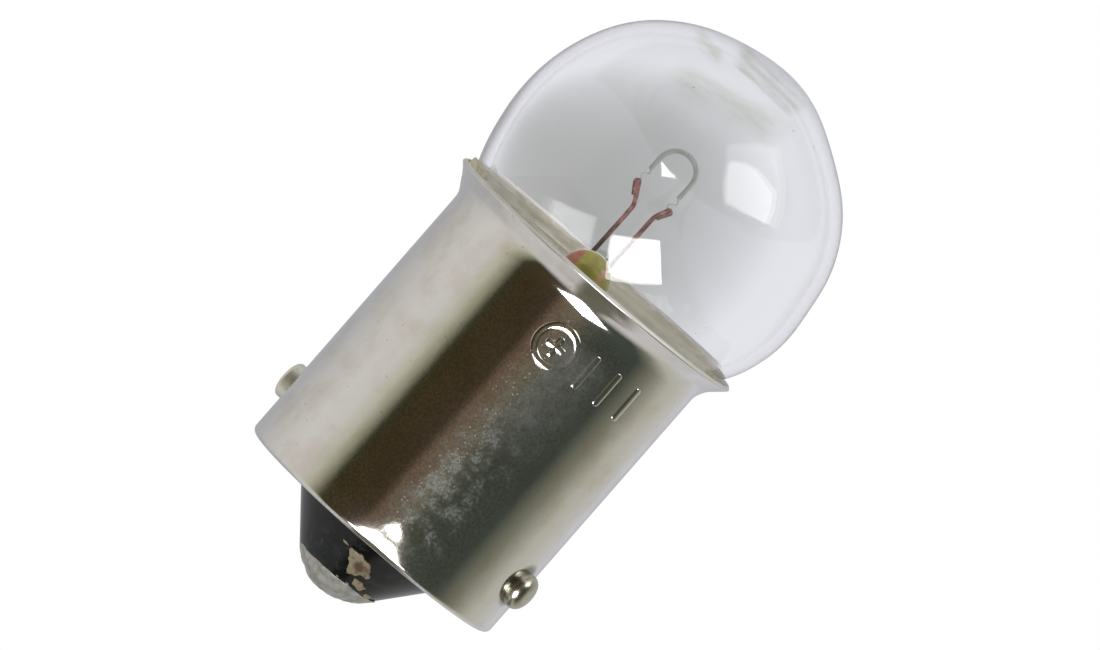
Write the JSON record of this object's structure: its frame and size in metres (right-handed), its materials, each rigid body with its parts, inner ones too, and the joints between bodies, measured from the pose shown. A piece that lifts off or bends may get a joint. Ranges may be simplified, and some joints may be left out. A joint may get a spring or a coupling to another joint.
{
  "type": "indicator bulb",
  "caption": "Small clear-glass globe bulb with an arched coil filament, on a flared nickel-plated bayonet cap with side pins and a soldered end contact.",
  "frame": {"origin": "on the lamp axis, where it crosses the line through the two bayonet pins", "axes": "+Z along the lamp axis from the cap towards the globe, +X along the right bayonet pin"},
  "size_m": [0.018, 0.018, 0.0341],
  "materials": {
    "nickel_plate": "nickel plate on brass, with fine pits",
    "clear_glass": "clear blown glass",
    "stem_glass": "lead glass, olive-yellow",
    "black_glass": "black moulded glass, glossy",
    "solder": "dull lumpy solder",
    "copper_wire": "copper-coated wire, browned",
    "tungsten": "drawn tungsten wire, dark grey",
    "cement": "baked resin cement, tan",
    "eyelet_brass": "plain brass"
  },
  "bodies": {
    "root": {"glass_envelope": "clear_glass", "stem": "stem_glass", "exhaust_tube": "clear_glass", "lead_wire_centre": "copper_wire", "lead_wire_side": "copper_wire", "filament": "tungsten", "cap_shell": "nickel_plate", "bayonet_pin_left": "nickel_plate", "bayonet_pin_right": "nickel_plate", "insulator": "black_glass", "contact_eyelet": "eyelet_brass", "contact_solder": "solder", "side_solder": "solder", "cement": "cement"}
  },
  "joints": []
}
